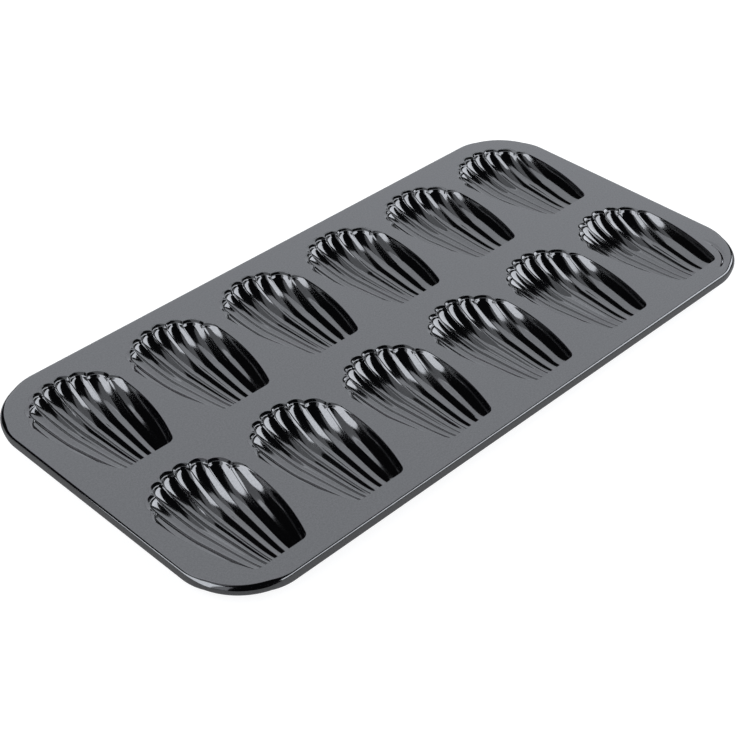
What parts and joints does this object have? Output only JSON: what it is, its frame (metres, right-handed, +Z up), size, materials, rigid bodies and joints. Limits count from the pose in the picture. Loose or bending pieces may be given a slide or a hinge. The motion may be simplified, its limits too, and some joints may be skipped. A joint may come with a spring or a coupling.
{
  "type": "madeleine pan",
  "caption": "Shallow rectangular baking pan with rows of fluted, shell-shaped cups pressed into a flat deck, and an edge rolled round a stiffening wire.",
  "frame": {"origin": "middle of the pan's outline, at the height of the cups' lowest points, where the pan stands", "axes": "+X along the pan's length, +Y from the cups' flat ends towards their scalloped ends, +Z up out of the cups"},
  "size_m": [0.4, 0.198, 0.0136],
  "materials": {
    "coated_sheet": "near-black non-stick coat with an even satin gloss, on both faces of the steel sheet",
    "bare_wire": "plain drawn steel wire, hidden inside the rolled edge"
  },
  "bodies": {
    "root": {"deck": "coated_sheet", "rolled_rim": "coated_sheet", "rim_wire": "bare_wire", "cup_front_1": "coated_sheet", "cup_front_2": "coated_sheet", "cup_front_3": "coated_sheet", "cup_front_4": "coated_sheet", "cup_front_5": "coated_sheet", "cup_front_6": "coated_sheet", "cup_back_1": "coated_sheet", "cup_back_2": "coated_sheet", "cup_back_3": "coated_sheet", "cup_back_4": "coated_sheet", "cup_back_5": "coated_sheet", "cup_back_6": "coated_sheet"}
  },
  "joints": []
}
